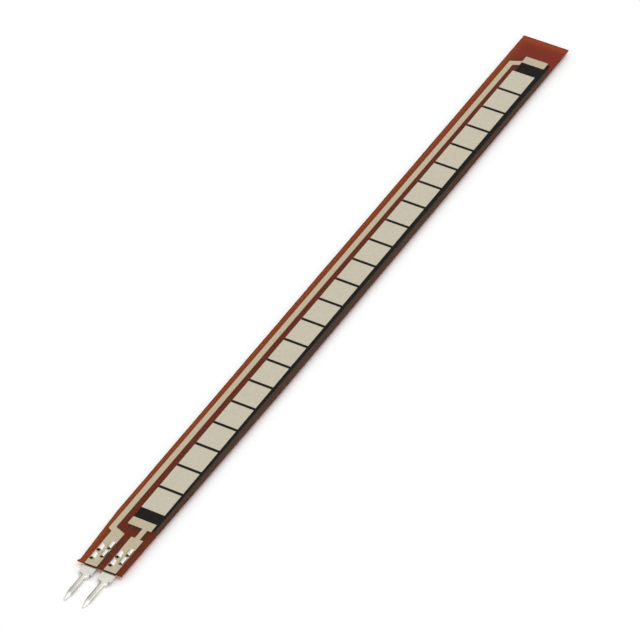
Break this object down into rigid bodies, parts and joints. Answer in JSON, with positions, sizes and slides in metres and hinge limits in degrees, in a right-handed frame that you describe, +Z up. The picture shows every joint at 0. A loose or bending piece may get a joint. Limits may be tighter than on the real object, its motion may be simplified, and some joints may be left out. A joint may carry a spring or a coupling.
{
  "type": "flex sensor",
  "caption": "Flat resistive bend sensor: amber film strip with a printed carbon track, silver segments and conductors, and crimped solder pins at one end.",
  "frame": {"origin": "under the middle of the whole length, pins included, on the surface that the sensor lies on", "axes": "+X along the strip away from the pins, +Y towards the long silver trace, +Z up from the printed side"},
  "size_m": [0.1122, 0.0066, 0.0012],
  "materials": {
    "film": "translucent amber film, smooth and slightly glossy, cut edges a little ragged",
    "carbon_ink": "screen-printed carbon ink, matte black",
    "silver_ink": "screen-printed silver ink, matte warm grey with a faint sheen",
    "tinned_metal": "stamped sheet with a bright tin plating, softly blurred reflections"
  },
  "bodies": {
    "root": {"film": "film", "resistive_ink": "carbon_ink", "return_conductor": "silver_ink", "tail_conductor": "silver_ink", "segment_01": "silver_ink", "segment_02": "silver_ink", "segment_03": "silver_ink", "segment_04": "silver_ink", "segment_05": "silver_ink", "segment_06": "silver_ink", "segment_07": "silver_ink", "segment_08": "silver_ink", "segment_09": "silver_ink", "segment_10": "silver_ink", "segment_11": "silver_ink", "segment_12": "silver_ink", "segment_13": "silver_ink", "segment_14": "silver_ink", "segment_15": "silver_ink", "segment_16": "silver_ink", "segment_17": "silver_ink", "segment_18": "silver_ink", "segment_19": "silver_ink", "segment_20": "silver_ink", "segment_21": "silver_ink", "segment_22": "silver_ink", "terminal_left": "tinned_metal", "terminal_right": "tinned_metal"}
  },
  "joints": []
}
